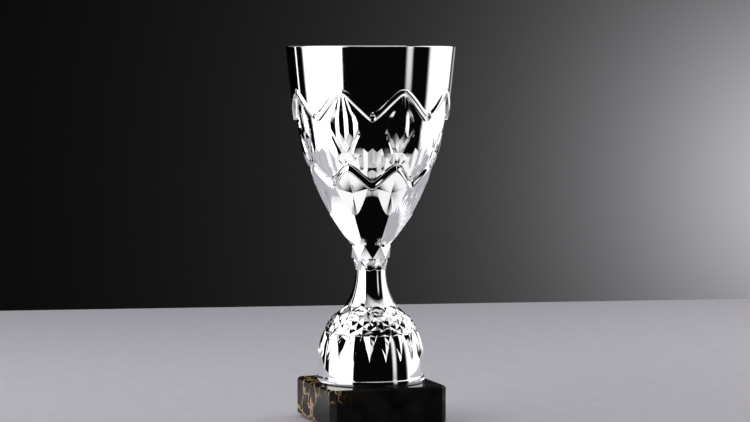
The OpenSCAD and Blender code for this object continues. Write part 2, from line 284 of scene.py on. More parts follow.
def marble():
    """Polished black marble: dark clouds, with thin gold veins and a few broad brown ones that gather
    towards the left and the back of the block."""
    gathering = 4.5
    swirling = (0.028, 0.028, 0.028)
    material, tree, shader = new_material("black_marble", Roughness=0.12, IOR=1.13)
    link = tree.links.new
    where = object_place(tree, (-1500, 0))
    swirl = node(
        tree, "ShaderNodeTexNoise", (-1250, -150), {"Scale": 38.0, "Detail": 4.0, "Roughness": 0.6}
    )
    shift = node(tree, "ShaderNodeVectorMath", (-1050, -50), {1: swirling}, operation="MULTIPLY_ADD")
    link(where, swirl.inputs["Vector"])
    link(swirl.outputs["Color"], shift.inputs[0])
    link(where, shift.inputs[2])
    swirled = shift.outputs["Vector"]
    clouds = noise(tree, (-800, 300), swirled, Scale=55.0, Detail=6.0, Roughness=0.65)
    stone = ramp(tree, (-550, 300), clouds, [(0.35, (0.004, 0.004, 0.0045)), (0.75, (0.02, 0.018, 0.016))])
    cells = node(tree, "ShaderNodeTexVoronoi", (-800, 0), {"Scale": 46.0}, feature="DISTANCE_TO_EDGE")
    link(swirled, cells.inputs["Vector"])
    thin = ramp(tree, (-550, 50), cells.outputs["Distance"], [(0.0, 1.0), (0.035, 0.0)], "EASE")
    broad = noise(tree, (-800, -500), swirled, Scale=20.0, Detail=5.0, Distortion=2.5)
    brown = ramp(tree, (-550, -450), broad, [(0.49, 0.0), (0.52, 0.55), (0.55, 0.0)])
    patches = noise(tree, (-1050, -300), where, Scale=30.0, Detail=2.0)
    side = node(tree, "ShaderNodeSeparateXYZ", (-1250, -450))
    link(where, side.inputs["Vector"])
    leftwards = maths(tree, (-1050, -450), "MULTIPLY_ADD", side.outputs["X"], -gathering, patches)
    backwards = maths(tree, (-850, -450), "MULTIPLY_ADD", side.outputs["Y"], gathering, leftwards)
    where_veined = ramp(tree, (-550, -200), backwards, [(0.5, 0.0), (0.62, 1.0)])
    veined = stone
    for veins, colour in ((thin, (0.68, 0.45, 0.2, 1)), (brown, (0.12, 0.055, 0.02, 1))):
        mixed = node(tree, "ShaderNodeMix", (0, 200), data_type="RGBA")
        mixed.inputs["B"].default_value = colour
        link(maths(tree, (-250, 0), "MULTIPLY", veins, where_veined), mixed.inputs["Factor"])
        link(veined, mixed.inputs["A"])
        veined = mixed.outputs["Result"]
    link(veined, shader.inputs["Base Color"])
    return material


plinth = block("plinth_block", (plinth_low + plinth_high) / 2, plinth_high - plinth_low)
pick_edges(plinth, lambda a, b: abs(a.z - b.z) > EDGE_BEVEL)
bpy.ops.mesh.bevel(offset=CORNER_BEVEL, segments=1)
pick_edges(plinth, lambda a, b: abs(a.z - b.z) < 0.01 * MM)
bpy.ops.mesh.bevel(offset=EDGE_BEVEL, segments=1)
clear_selection()
carve(plinth, rod(PLINTH_HOLE_D / 2, plinth_low.z - PAST, plinth_high.z + PAST))
carve(plinth, rod(POCKET_D / 2, plinth_low.z - PAST, plinth_low.z + POCKET_H))
soften_edges(plinth, POLISHED_EDGE, 3)
plinth.modifiers.new("flat_faces", "WEIGHTED_NORMAL").keep_sharp = True
smooth(plinth, 40)
apply_all(plinth)
plinth.data.materials.append(marble())
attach(plinth, "root")
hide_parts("plinth")


# ---- stud, washers and lower nut ----
# A threaded rod runs up through the whole trophy. In the plinth's pocket it carries a wide washer, a split
# spring washer and a hex nut. All are zinc-plated steel, and the thread is rolled.
THREAD_PITCH = 1.0
THREAD_R = 3.0
THREAD_ROOT_R = 2.45
THREAD_CHAMFER = 0.6
THREAD_STEPS = 20
NUT_AF = 10.0
NUT_CORNER_R = NUT_AF / 2 / math.cos(math.radians(30))
NUT_FACE_R = 4.75
NUT_CHAMFER_H = 0.62
NUT_BORE_R = 3.05
NUT_EDGE = 0.12
WASHER_BORE_R = 3.05
WASHER_EDGE = 0.2
SPLIT_GAP = 1.0
SPLIT_CUT_H = 6
SPLIT_LEAN = math.radians(18)
SPRING_EDGE = 0.15


def edit_all(piece):
    """Goes into edit mode with all of a piece selected."""
    take(piece)
    bpy.ops.object.mode_set(mode="EDIT")
    bpy.ops.mesh.select_all(action="SELECT")


def line_of(name, points):
    """A piece that is only a line from point to point."""
    mesh = bpy.data.meshes.new(name)
    mesh.from_pydata(points, [(i, i + 1) for i in range(len(points) - 1)], [])
    return placed(name, mesh)


def turned(name, outline, steps, turn=0.0):
    """A piece turned on the axis from an outline of (radius, height) in millimetres."""
    start = math.radians(turn)
    piece = line_of(
        name, [(r * math.cos(start) * MM, r * math.sin(start) * MM, z * MM) for r, z in outline]
    )
    edit_all(piece)
    bpy.ops.mesh.spin(steps=steps, angle=math.radians(360), center=(0, 0, 0), axis=(0, 0, 1))
    bpy.ops.object.mode_set(mode="OBJECT")
    return piece


def one_skin(name, parts, gap=0.02, capped=False):
    """Joins parts whose edges meet into one closed skin that faces outwards. Capped fills open ends."""
    take(parts[0])
    for part in parts[1:]:
        part.select_set(True)
    if len(parts) > 1:
        bpy.ops.object.join()
    piece = bpy.context.object
    piece.name = name
    piece.data.name = name
    edit_all(piece)
    bpy.ops.mesh.remove_doubles(threshold=gap * MM)
    if capped:
        bpy.ops.mesh.select_all(action="SELECT")
        bpy.ops.mesh.fill_holes(sides=0)
        bpy.ops.mesh.select_all(action="SELECT")
    bpy.ops.mesh.normals_make_consistent(inside=False)
    bpy.ops.object.mode_set(mode="OBJECT")
    return piece


def zinc():
    """Zinc plate on steel: bluish, a little yellow in patches, finely grained, duller where handled."""
    material, tree, shader = new_material("zinc_steel", Metallic=1.0)
    where = object_place(tree, (-900, 0))
    grain = noise(tree, (-600, 200), where, Scale=1800.0, Detail=3.0)
    patches = noise(tree, (-600, -100), where, Scale=170.0, Detail=4.0)
    colour = ramp(tree, (-300, 100), patches, [(0.35, (0.56, 0.58, 0.60)), (0.7, (0.66, 0.64, 0.56))])
    rough = ramp(tree, (-300, -200), patches, [(0.3, 0.22), (0.75, 0.42)])
    tree.links.new(colour, shader.inputs["Base Color"])
    tree.links.new(rough, shader.inputs["Roughness"])
    bumped(tree, shader, (200, -300), grain, Strength=0.35, Distance=0.00005)
    return material


zinc_steel = zinc()


def steel_part(piece, cad_node):
    """Finishes a small steel piece that stands for a CAD node."""
    smooth(piece, 35)
    piece.data.materials.append(zinc_steel)
    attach(piece, "root")
    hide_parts(cad_node)


def ring_between(cad_node, bore_r, name):
    """A flat ring as wide and as thick as a CAD node."""
    low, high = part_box(cad_node)
    ring = rod(high.y, low.z, high.z)
    ring.name = name
    carve(ring, rod(bore_r * MM, low.z - MM, high.z + MM))
    return ring


def washer(cad_node):
    """A stamped washer, with its edges rounded by tumbling."""
    ring = ring_between(cad_node, WASHER_BORE_R, cad_node + "_steel")
    soften_edges(ring, WASHER_EDGE * MM, 3)
    steel_part(ring, cad_node)


def hex_nut(cad_node):
    """A hex nut: a six-sided prism cut down by a chamfered disc, and bored."""
    low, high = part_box(cad_node)
    nut = rod(NUT_CORNER_R * MM, low.z, high.z, 6, turn=30, name=cad_node + "_steel")
    low_z, high_z = low.z / MM, high.z / MM
    disc_r = NUT_CORNER_R + 0.1
    outline = [(0, low_z), (NUT_FACE_R, low_z), (disc_r, low_z + NUT_CHAMFER_H),
               (disc_r, high_z - NUT_CHAMFER_H), (NUT_FACE_R, high_z), (0, high_z)]
    carve(nut, one_skin("disc", [turned("disc", outline, 96)]), "INTERSECT")
    carve(nut, rod(NUT_BORE_R * MM, low.z - MM, high.z + MM))
    soften_edges(nut, NUT_EDGE * MM, 2)
    steel_part(nut, cad_node)


# The thread's outline over one pitch is wound up the axis, closed at its ends, and cut to the stud's length.
stud_low, stud_high = (c.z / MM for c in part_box("stud"))
turns = math.ceil((stud_high - stud_low) / THREAD_PITCH) + 2
tooth = [(THREAD_ROOT_R, 0), (THREAD_ROOT_R, 0.06), (THREAD_R, 0.44),
         (THREAD_R, 0.56), (THREAD_ROOT_R, 0.94), (THREAD_ROOT_R, 1)]
stud = line_of("stud_thread", [(r * MM, 0, (stud_low + (z - 1.5) * THREAD_PITCH) * MM) for r, z in tooth])
winding = stud.modifiers.new("winding", "SCREW")
winding.screw_offset = THREAD_PITCH * MM
winding.iterations = turns
winding.steps = winding.render_steps = THREAD_STEPS
winding.use_merge_vertices = False
apply_all(stud)
one_skin("stud_thread", [stud], 0.002, capped=True)
blank = rod((THREAD_R + 0.001) * MM, stud_low * MM, stud_high * MM, 60)
soften_edges(blank, THREAD_CHAMFER * MM, 1, 60)
carve(stud, blank, "INTERSECT")
steel_part(stud, "stud")
washer("plinth_washer")
low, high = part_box("spring_washer")
spring = ring_between("spring_washer", WASHER_BORE_R, "spring_washer_steel")
split_size = (2 * high.x, SPLIT_GAP * MM, SPLIT_CUT_H * MM)
carve(spring, block("split", (high.x, 0, (low.z + high.z) / 2), split_size, (SPLIT_LEAN, 0, 0)))
soften_edges(spring, SPRING_EDGE * MM, 2)
steel_part(spring, "spring_washer")
hex_nut("plinth_nut")


# ---- foot ----
# One hollow moulding in silvered plastic: a smooth waisted neck with small facets at its top, ten
# eye-shaped cuts round its root, a shoulder of diamonds, twenty raised daggers, a plain bell and a flange.
FOOT_H = 82.2
NECK_TOP_R = 11.4
NECK_R = 10.0
WAIST_Y = 8.3
EYE_Y = 31.7
EYE_R = 17.0
BAND_Y = 37.5
BAND_R = 23.0
DAGGER_Y = 48.2
DAGGER_R = 30.3
FLANGE_T = 4.3
FLANGE_R = 35.8
BELL_FOOT_R = 34.9
FOOT_WALL = 3.4
FOOT_ROOF = 3
FLANGE_ROUNDING = 0.5
STUD_BORE_R = 3.3
EYE_TURN = 12.2
DIAMOND_TURN = 7.7
CUT_ANGLE = 28
foot_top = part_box("foot")[1].z / MM


def bezier(points, count):
    """Points along a cubic curve, without its last one."""
    t = np.linspace(0, 1, count, endpoint=False)[:, None]
    a, b, c, d = (np.array(p, float) for p in points)
    return a * (1 - t) ** 3 + 3 * b * t * (1 - t) ** 2 + 3 * c * t * t * (1 - t) + d * t ** 3


class Side:
    """A turned piece's outer side: its radius at each depth below its top, and the way that it faces."""

    def __init__(self, points, top_z):
        points = np.array(points, float)
        self.depth, self.radius, self.top_z = points[:, 0], points[:, 1], top_z
        slope = np.gradient(self.radius, self.depth)
        length = np.hypot(1, slope)
        self.out, self.up = 1 / length, slope / length

    def at(self, depth):
        return np.interp(depth, self.depth, self.radius)

    def place(self, depth, relief):
        """Radius and height of a point that stands relief over the side."""
        out = np.interp(depth, self.depth, self.out)
        up = np.interp(depth, self.depth, self.up)
        return self.at(depth) + relief * out, self.top_z - depth + relief * up


TOUCHING = 1e-6  # points closer than this are one
BEND = 0.003  # change of slope that counts as a bend
CROWDED = 0.55  # share of the spacing that the grid keeps from the lines
MERGED = 0.001


def drawn(name, creases, curves, width, mm_per_degree, spacing, top, foot, columns):
    """Half a repeat of a cut pattern, drawn flat: x is degrees round the piece, y the depth below its top
    and z the relief, both in millimetres. Creases and curves are lists of (x, y, relief) and become edges, of
    which the creases stay sharp. Top and foot give the depth and relief of the first and last row."""
    # Flat facets are stretched between the lines, which gives the relief everywhere.
    ends, points, relief, edges = {}, [], [], []

    def point(x, y, z):
        key = (round(x, 3), round(y, 3))
        if key not in ends:
            ends[key] = len(points)
            points.append((x * mm_per_degree, y))
            relief.append(z)
        return ends[key]

    for y, z in (top, foot):
        row = [point(width * i / columns, y, z) for i in range(columns + 1)]
        edges += zip(row, row[1:])
    counts = []
    for lines in (curves, creases):
        for line in lines:
            chain = [point(*p) for p in line]
            edges += [(a, b) for a, b in zip(chain, chain[1:]) if a != b]
        counts.append(len(edges))
    first_crease, first_border = counts
    for border in (0, width):
        column = sorted((y, i) for (x, y), i in ends.items() if abs(x - border) < 0.002)
        edges += [(a[1], b[1]) for a, b in zip(column, column[1:])]
    xy, sides, faces, from_points, from_edges, _ = delaunay_2d_cdt(
        [Vector(p) for p in points], edges, [], 0, TOUCHING
    )
    crossing = [tuple(round(c, 2) for c in p) for p, source in zip(xy, from_points) if not source]
    if crossing:
        raise ValueError(f"lines of {name} cross at {crossing}")
    flat = np.array([tuple(p) for p in xy])
    height = np.array([relief[source[0]] for source in from_points])
    corners = np.array(faces)
    a, b, c = (flat[corners[:, k]] for k in range(3))
    (ax, ay), (bx, by), (cx, cy) = a.T, (b - a).T, (c - a).T
    area = bx * cy - by * cx
    base = height[corners[:, 0]]
    rise_b, rise_c = (height[corners[:, k]] - base for k in (1, 2))
    slope_x = (rise_b * cy - rise_c * by) / area
    slope_y = (rise_c * bx - rise_b * cx) / area
    # The lines, and the facets' other bends, are split into short edges.
    beside = {}
    for number, face in enumerate(faces):
        for k in range(3):
            beside.setdefault(frozenset((face[k], face[(k + 1) % 3])), []).append(number)
    fine, fine_relief, fine_edges, sharp = list(map(tuple, flat)), list(height), [], []
    for side, source in zip(sides, from_edges):
        near = beside[frozenset(side)]
        bend = len(near) < 2 or math.hypot(
            slope_x[near[0]] - slope_x[near[1]], slope_y[near[0]] - slope_y[near[1]]
        ) > BEND
        if not bend and not source:
            continue
        p, q = flat[side[0]], flat[side[1]]
        parts = max(1, round(float(np.hypot(*(q - p))) / spacing))
        chain = [side[0]]
        for i in range(1, parts):
            t = i / parts
            chain.append(len(fine))
            fine.append(tuple(p + (q - p) * t))
            fine_relief.append(height[side[0]] * (1 - t) + height[side[1]] * t)
        chain.append(side[1])
        fine_edges += zip(chain, chain[1:])
        sharp += [any(first_crease <= i < first_border for i in source)] * (len(chain) - 1)
    # An even grid fills the facets, so that they bend smoothly when they are wrapped.
    taken = np.array(fine)
    grid_x = np.linspace(0, width * mm_per_degree, columns + 1)[1:-1]
    rows = max(1, round((foot[0] - top[0]) / spacing))
    for number in range(1, rows):
        y = top[0] + (foot[0] - top[0]) * number / rows
        for x in grid_x:
            if np.min(np.hypot(taken[:, 0] - x, taken[:, 1] - y)) < CROWDED * spacing:
                continue
            u = (cy * (x - ax) - cx * (y - ay)) / area
            v = (bx * (y - ay) - by * (x - ax)) / area
            inside = np.argmax(np.minimum(np.minimum(u, v), 1 - u - v))
            fine.append((x, y))
            fine_relief.append(base[inside] + u[inside] * rise_b[inside] + v[inside] * rise_c[inside])
    xy, sides, faces, from_points, from_edges, _ = delaunay_2d_cdt(
        [Vector(p) for p in fine], fine_edges, [], 0, TOUCHING
    )
    sharp_sides = {
        frozenset(side) for side, source in zip(sides, from_edges) if any(sharp[i] for i in source)
    }
    mesh = bpy.data.meshes.new(name)
    mesh.from_pydata(
        [(p[0] / mm_per_degree, p[1], fine_relief[s[0]]) for p, s in zip(xy, from_points)], [], faces
    )
    for edge in mesh.edges:
        edge.use_edge_sharp = frozenset(edge.vertices) in sharp_sides
    return placed(name, mesh)


def wrapped(piece, side, width, repeats, turn):
    """Mirrors a flat half repeat, copies it round and wraps it onto a turned piece's side."""
    mirror = piece.modifiers.new("other_half", "MIRROR")
    mirror.merge_threshold = MERGED
    copies = piece.modifiers.new("copies", "ARRAY")
    copies.count = repeats
    copies.use_relative_offset = False
    copies.use_constant_offset = True
    copies.constant_offset_displace = (2 * width, 0, 0)
    copies.use_merge_vertices = True
    copies.merge_threshold = MERGED
    apply_all(piece)
    flat = np.zeros(len(piece.data.vertices) * 3)
    piece.data.vertices.foreach_get("co", flat)
    x, y, z = flat.reshape(-1, 3).T
    radius, height = side.place(y, z)
    angle = np.radians(turn + x)
    round_it = np.stack([radius * np.cos(angle), radius * np.sin(angle), height], 1) * MM
    piece.data.vertices.foreach_set("co", round_it.ravel())
    piece.data.update()
    return piece


def arc(centre, radius, start, end, count):
    """Points along a circle's arc, with angles in degrees, both ends included."""
    angles = [math.radians(start + (end - start) * i / count) for i in range(count + 1)]
    return [(centre[0] + radius * math.cos(a), centre[1] + radius * math.sin(a)) for a in angles]


def plating_marks():
    """Group: the faint waviness of plated plastic, and the haze that handling leaves on it."""
    group = bpy.data.node_groups.new("plating_marks", "ShaderNodeTree")
    socket = group.interface.new_socket
    socket("Vector", in_out="INPUT", socket_type="NodeSocketVector")
    for label, value in (("Polish", 0.03), ("Haze", 0.06), ("Waviness", 0.1)):
        socket(label, in_out="INPUT", socket_type="NodeSocketFloat").default_value = value
    socket("Roughness", in_out="OUTPUT", socket_type="NodeSocketFloat")
    socket("Height", in_out="OUTPUT", socket_type="NodeSocketFloat")
    socket("Tint", in_out="OUTPUT", socket_type="NodeSocketColor")
    given = node(group, "NodeGroupInput", (-900, 0)).outputs
    result = node(group, "NodeGroupOutput", (500, 0)).inputs
    smears = noise(group, (-600, 200), given["Vector"], Scale=34.0, Detail=3.0, Distortion=1.2)
    specks = noise(group, (-600, -50), given["Vector"], Scale=900.0, Detail=2.0)
    ripple = noise(group, (-600, -300), given["Vector"], Scale=120.0, Detail=1.0)
    hazy = ramp(group, (-350, 200), smears, [(0.45, 0.0), (0.75, 1.0)])
    amount = maths(group, (-50, 200), "MULTIPLY", hazy, given["Haze"])
    rough = maths(group, (200, 150), "ADD", amount, given["Polish"])
    wave = maths(group, (-50, -300), "MULTIPLY", ripple, given["Waviness"])
    tint = ramp(group, (-50, -50), specks, [(0.3, (0.93, 0.935, 0.95)), (0.7, (0.97, 0.97, 0.965))])
    for label, value in (("Roughness", rough), ("Height", wave), ("Tint", tint)):
        group.links.new(value, result[label])
    return group


def silver_plate(name, polish, haze, waviness):
    """Bright silver plating on moulded plastic."""
    material, tree, shader = new_material(name, Metallic=1.0)
    link = tree.links.new
    marks = node(tree, "ShaderNodeGroup", (-400, 0))
    marks.node_tree = plating_marks()
    for label, value in (("Polish", polish), ("Haze", haze), ("Waviness", waviness)):
        marks.inputs[label].default_value = value
    link(object_place(tree, (-700, 0)), marks.inputs["Vector"])
    link(marks.outputs["Tint"], shader.inputs["Base Color"])
    link(marks.outputs["Roughness"], shader.inputs["Roughness"])
    bumped(tree, shader, (250, -250), marks.outputs["Height"], Strength=0.25, Distance=0.0002)
    return material


# The foot's side from its top: the neck, its flare, the shoulder and the bell.
neck_top = [
    (WAIST_Y * t, NECK_R + (NECK_TOP_R - NECK_R) * (1 - t) ** 2.2) for t in np.linspace(0, 1, 12)[:-1]
]
foot_side = Side(
    [*neck_top,
     *bezier([(WAIST_Y, NECK_R), (20, NECK_R), (27, 14.3), (EYE_Y, EYE_R)], 40),
     *bezier([(EYE_Y, EYE_R), (33.5, 18.6), (35.5, 20.9), (BAND_Y, BAND_R)], 12),
     *bezier([(BAND_Y, BAND_R), (40.8, 26.4), (44.6, 28.9), (DAGGER_Y, DAGGER_R)], 24),
     *bezier([(DAGGER_Y, DAGGER_R), (53, 32.2), (62, 34.3), (FOOT_H - FLANGE_T, BELL_FOOT_R)], 40),
     (FOOT_H - FLANGE_T, BELL_FOOT_R)],
    foot_top,
)

# The neck's small facets at its top, and the ring of eye-shaped cuts at its root. An eye is centred on
# x = 0, and its corner meets the next eye's at EYE_HALF.
EYE_HALF = 18
SEAM_Y = 37.2
SEAM_CUT = -0.3
EYE_MID_Y = 33.9
EYE_UP = 3.0
EYE_DOWN = 2.9
EYE_CUT = 0.9
PUPIL = 0.36
neck_creases = [
    [(EYE_HALF, 0.7, -0.05), (12, 2.2, -0.2), (6, 3.7, -0.38), (0, 5.0, -0.55)],
    [(EYE_HALF, 1.1, 0.35), (12, 2.6, 0.4), (6, 4.1, 0.4), (1.6, 5.2, 0.35), (0, 5.6, 0.3)],
    [(0, 6.6, 0.25), (5, 7.5, 0.14), (EYE_HALF, 7.7, 0.1)],
    [(0, 6.9, 0.0), (5, 7.8, 0.0), (EYE_HALF, 8.0, 0.0)],
    [(0, 0.4, -0.15), (0, 5.0, -0.55)],
]


def eye(scale, relief):
    """One half of an eye's outline, from its top round its corner to its foot."""
    steps = [(i / 8, -EYE_UP) for i in range(9)] + [(i / 8, EYE_DOWN) for i in range(8, -1, -1)]
    return [(EYE_HALF * scale * t, EYE_MID_Y + drop * scale * (1 - t * t), relief) for t, drop in steps]


neck_creases += [
    eye(1.0, 0.25), eye(0.82, -0.25), eye(0.6, -0.65), eye(PUPIL, -0.85),
    [(0, EYE_MID_Y - EYE_UP * PUPIL, -0.85), (0, EYE_MID_Y, -EYE_CUT),
     (0, EYE_MID_Y + EYE_DOWN * PUPIL, -0.85)],
    [(0, 28.6, 0.0), (9, 29.4, 0.0), (EYE_HALF, 31.4, 0.0)],
]
neck_skin = wrapped(
    drawn("neck_skin", neck_creases, [], EYE_HALF, mm_per_degree=0.25, spacing=0.75,
          top=(0, 0), foot=(SEAM_Y, SEAM_CUT), columns=20),
    foot_side, EYE_HALF, repeats=10, turn=EYE_TURN,
)

# Four rows of diamonds, and the daggers under them. A dagger is a raised roof with its ridge at x = 9,
# DIAMOND_HALF, standing out most just over its tip, and x = 0 lies midway between two of them.
DIAMOND_HALF = 9
DIAMOND_H = 1.1
DAGGER_TIP_Y = 66
rows = [BAND_Y + (DAGGER_Y - BAND_Y) * i / 4 for i in range(5)]
skirt_creases = [
    [(0, rows[0], 0), (9, rows[1], 0), (0, rows[2], 0), (9, rows[3], 0), (0, rows[4], 0)],
    [(0, rows[1], DIAMOND_H), (9, rows[1], 0)],
    [(9, rows[2], DIAMOND_H), (0, rows[2], 0)],
    [(0, rows[3], DIAMOND_H), (9, rows[3], 0)],
    [(0, rows[0], 0), (9, rows[0], DIAMOND_H * 0.7)],
    [(9, rows[3], 0), (9, rows[4], 0.1), (9, 49.2, 0.5), (9, 52.7, 0.95), (9, 56.8, 1.15), (9, 60.6, 1.35),
     (9, 62.9, 1.4), (9, DAGGER_TIP_Y, 0)],
    [(0, rows[4], 0), (2.4, 52.3, 0), (4.9, 56.8, 0), (7.2, 61.0, 0), (9, DAGGER_TIP_Y, 0)],
    [(9, 49.2, 0.5), (1.2, 49.2, -0.5), (3.1, 52.7, -0.4), (5.6, 56.8, 0.2), (7.8, 60.6, 0.95),
     (9, 62.9, 1.4)],
]
skirt_skin = wrapped(
    drawn("skirt_skin", skirt_creases, [], DIAMOND_HALF, mm_per_degree=0.55, spacing=0.75,
          top=(SEAM_Y, SEAM_CUT), foot=(FOOT_H - FLANGE_T, 0), columns=10),
    foot_side, DIAMOND_HALF, repeats=20, turn=DIAMOND_TURN,
)

# The flange and the hollow inside are turned in one piece.
flange_z = foot_top - FOOT_H
inside = [
    (foot_side.at(SEAM_Y) - FOOT_WALL, foot_top - SEAM_Y - 2), (EYE_R - FOOT_WALL, foot_top - EYE_Y - 1),
    (NECK_R - FOOT_WALL, foot_top - 20), (NECK_R - FOOT_WALL, foot_top - FOOT_ROOF),
    (STUD_BORE_R, foot_top - FOOT_ROOF),
    (STUD_BORE_R, foot_top), (NECK_TOP_R, foot_top),
]
foot_core = turned(
    "foot_core",
    [(BELL_FOOT_R, flange_z + FLANGE_T), (BELL_FOOT_R + 0.1, flange_z + FLANGE_T - 0.3)]
    + arc((FLANGE_R - FLANGE_ROUNDING, flange_z + FLANGE_T - 0.9), FLANGE_ROUNDING, 90, 0, 5)
    + arc((FLANGE_R - FLANGE_ROUNDING, flange_z + FLANGE_ROUNDING), FLANGE_ROUNDING, 0, -90, 4)
    + [(BELL_FOOT_R - FOOT_WALL, flange_z), (BELL_FOOT_R - FOOT_WALL, flange_z + 16), (27.4, foot_top - 49)]
    + inside,
    400, DIAMOND_TURN,
)
foot = one_skin("foot_shell", [foot_core, neck_skin, skirt_skin])
smooth(foot, CUT_ANGLE)
bright_silver = silver_plate("bright_silver", 0.025, 0.05, 0.1)
foot.data.materials.append(bright_silver)
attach(foot, "root")
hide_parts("foot")


# ---- collar ----
# A separate faceted ring in the same silvered plastic, clamped between the foot and the bowl.
# Eight facets point down and eight point up, under a thin round lip.
COLLAR_FACETS = 8
COLLAR_TURN = 32.6
COLLAR_TOP_R = 13.8
COLLAR_FOOT_R = 12.7
COLLAR_LIP_R = 13.3
COLLAR_LIP = 0.8
COLLAR_EDGE = 0.22
collar_low, collar_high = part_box("collar")
clear_selection()
bpy.ops.mesh.primitive_circle_add(
    vertices=COLLAR_FACETS, radius=COLLAR_FOOT_R * MM, location=(0, 0, collar_low.z),
    rotation=(0, 0, math.radians(COLLAR_TURN - 90)),
)
collar = named("collar_ring")
bpy.ops.object.mode_set(mode="EDIT")
bpy.ops.mesh.primitive_circle_add(
    vertices=COLLAR_FACETS, radius=COLLAR_TOP_R * MM, location=(0, 0, collar_high.z - COLLAR_LIP * MM),
    rotation=(0, 0, math.radians(COLLAR_TURN - 90 + 180 / COLLAR_FACETS)),
)
bpy.ops.mesh.select_all(action="SELECT")
bpy.ops.mesh.convex_hull(join_triangles=False)
bpy.ops.object.mode_set(mode="OBJECT")
soften_edges(collar, COLLAR_EDGE * MM, 2, 12)
carve(collar, rod(COLLAR_LIP_R * MM, collar_high.z - 2 * COLLAR_LIP * MM, collar_high.z), "UNION")
carve(collar, rod(STUD_BORE_R * MM, collar_low.z - PAST, collar_high.z + PAST))
smooth(collar, 10)
collar.data.materials.append(bright_silver)
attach(collar, "root")
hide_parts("collar")


# ---- bowl ----
# One thin moulding in silvered plastic, copied from cut crystal: a plain band, a zigzag rib with a round
# dimple at each low point, fans and crowns of pointed flutes, thumb cuts, a lower zigzag groove, hanging
# leaves, and eight flats that run down to its seat on the collar.
BOWL_H = 130.6
BOWL_TURN = 28.2
BOWL_REPEATS = 8
BOWL_HALF = 180 / BOWL_REPEATS
BOWL_COLUMNS = 20
RIM_R = 56.2
SEAT_R = 13.5
LIP_R = 0.9
RIM_WALL = 1.8
BOWL_WALL = 3.6
FULL_WALL_Y = 40
BOWL_FLOOR = 3.6
PANEL = -1.3
VALLEY = -2.2
rim_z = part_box("bowl")[1].z / MM
bowl_side = Side(
    [*bezier([(0, RIM_R), (46, 51), (80, 51.5), (BOWL_H, SEAT_R)], 400), (BOWL_H, SEAT_R)], rim_z
)
STEP = BOWL_HALF / BOWL_COLUMNS


def zigzag(x, sharpness=0.85):
    """Rounded zigzag: 1 at each low point, -1 at each peak, with x in degrees from a low point."""
    return math.asin(sharpness * math.cos(math.radians(BOWL_REPEATS * x))) / math.asin(sharpness)


def steepness(x, swing, radius):
    """How much longer a zigzag line is than its run, at x."""
    rise = swing * (zigzag(x + 0.1) - zigzag(x - 0.1)) / (0.2 * math.pi / 180 * radius)
    return math.hypot(1, rise)


# The rib's section runs from its upper edge at -1 to its lower at 1, where it drops to the cut panel.
# The rib swells round the dimples.
RIB_Y = 37.8
RIB_SWING = 7.8
RIB_W = 4.3
RIB_R = 54
SWELL = 1.3
SWELL_DEG = 3.2
RIB_SECTION = [(-1, 0), (-0.9, 0.18), (-0.55, 0.62), (-0.25, 0.92), (-0.05, 1.0), (0.2, 0.93), (0.55, 0.72),
               (0.88, 0.45), (0.97, -0.3), (1.06, PANEL)]


def rib_y(x, across):
    """Depth of the rib at x, across from -1 at its upper edge to 1 at its lower."""
    half = RIB_W / 2 * steepness(x, RIB_SWING, RIB_R) + SWELL * math.exp(-(x / SWELL_DEG) ** 2)
    return RIB_Y + RIB_SWING * zigzag(x) + across * half


DIMPLE_R = 2.3
dimple_y = RIB_Y + RIB_SWING
MM_PER_DEGREE = 0.93


def dimple_x(y):
    """Where the dimple's edge lies, in degrees, at a depth."""
    return math.sqrt(max(0, DIMPLE_R ** 2 - (y - dimple_y) ** 2)) / MM_PER_DEGREE


# The rib's lines stop at the dimple's edge, which takes its height from them.
bowl_curves = []
dimple_edge = [(0, dimple_y - DIMPLE_R, 0.95)]
for across, height in RIB_SECTION:
    start = rib_y(0, across)
    line = [(STEP * i, rib_y(STEP * i, across), height) for i in range(BOWL_COLUMNS + 1)]
    if abs(start - dimple_y) < DIMPLE_R - 0.1:
        edge_x = dimple_x(start)
        for _ in range(8):
            edge_x = dimple_x(rib_y(edge_x, across))
        edge = (edge_x, rib_y(edge_x, across), height)
        dimple_edge.append(edge)
        line = [edge] + [p for p in line if p[0] > edge_x + 0.35]
    bowl_curves.append(line)
bowl_creases = [bowl_curves.pop(), bowl_curves.pop(-2)]
dimple_edge.append((0, dimple_y + DIMPLE_R, 0.1))
bowl_curves.append(dimple_edge)
DIMPLE_BED = 0.4
for scale, height in ((0.7, 0.12), (DIMPLE_BED, -0.08)):
    bowl_curves.append([
        (DIMPLE_R * scale * math.sin(math.radians(t)) / MM_PER_DEGREE,
         dimple_y - DIMPLE_R * scale * math.cos(math.radians(t)), height)
        for t in range(0, 181, 30)
    ])
bowl_curves.append([(0, dimple_y - DIMPLE_BED * DIMPLE_R, -0.08), (0, dimple_y, -0.15),
                    (0, dimple_y + DIMPLE_BED * DIMPLE_R, -0.08)])


def from_peak(*points):
    """Points given by their degrees from the peak instead of from the low point."""
    return [(BOWL_HALF - x, y, relief) for x, y, relief in points]


def under_rib(steps):
    """The rib's lower edge, a number of columns from the peak."""
    x = BOWL_HALF - STEP * steps
    return (x, rib_y(x, RIB_SECTION[-1][0]), PANEL)


